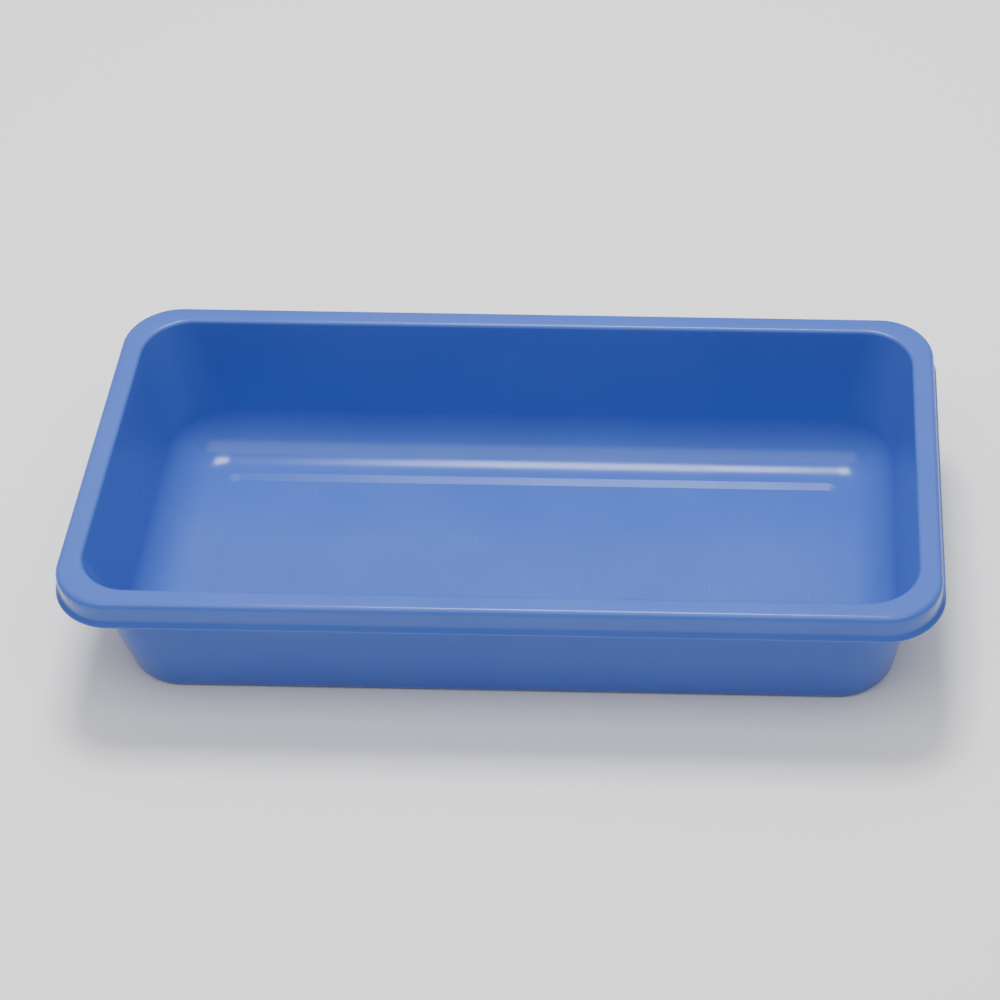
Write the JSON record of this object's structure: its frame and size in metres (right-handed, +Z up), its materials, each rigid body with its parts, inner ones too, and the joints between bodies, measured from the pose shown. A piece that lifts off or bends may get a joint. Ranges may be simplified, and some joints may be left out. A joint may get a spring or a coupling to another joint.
{
  "type": "mud pan",
  "caption": "Rectangular blue plastic mud pan with a flat flanged rim, a skirt with a sloping lip, drafted walls, a wide cove round the floor and a shallow sunk floor panel.",
  "frame": {"origin": "middle of the underside, on the surface that the pan stands on", "axes": "+X along the length, +Y across the width from the near side to the far side, +Z up out of the mouth"},
  "size_m": [0.4036, 0.2066, 0.0765],
  "materials": {
    "blue_plastic": "gloss"
  },
  "bodies": {
    "root": {"pan": "blue_plastic"}
  },
  "joints": []
}
